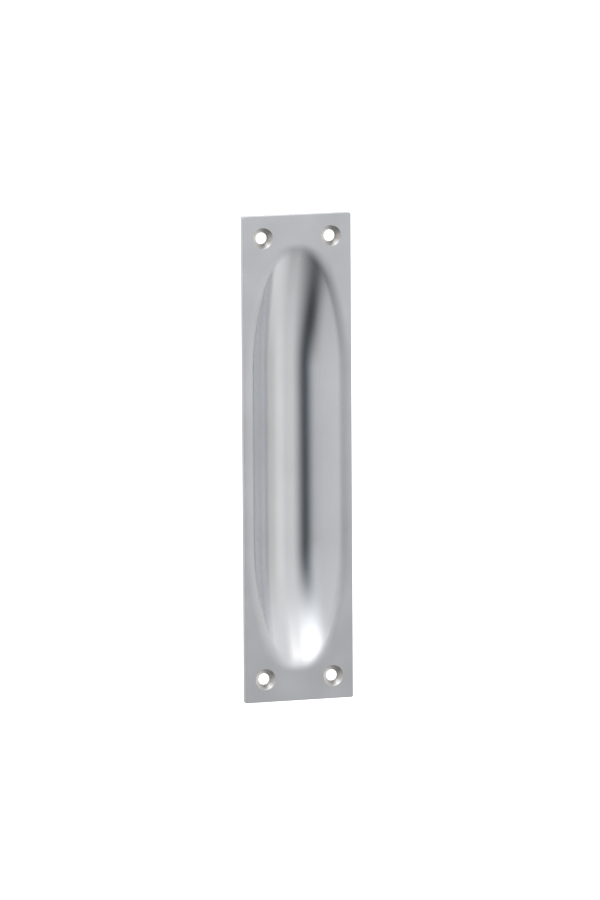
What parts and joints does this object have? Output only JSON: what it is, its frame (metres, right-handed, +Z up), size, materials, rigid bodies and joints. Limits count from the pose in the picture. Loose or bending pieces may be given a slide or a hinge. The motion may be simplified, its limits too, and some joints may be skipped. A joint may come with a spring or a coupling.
{
  "type": "flush pull",
  "caption": "Rectangular satin aluminium plate with a long pressed finger recess, soft lips and countersunk screw holes in its corners, let into a sliding door.",
  "frame": {"origin": "middle of the screw hole pattern, in the plane of the flat back that seats on the door", "axes": "+Z up along the length of the plate, +X to the right seen from the front, -Y out of the door towards the user, +Y into the door"},
  "size_m": [0.035, 0.0106, 0.15],
  "materials": {
    "satin_aluminium": "satin anodised"
  },
  "bodies": {
    "root": {"pull_plate": "satin_aluminium"}
  },
  "joints": []
}
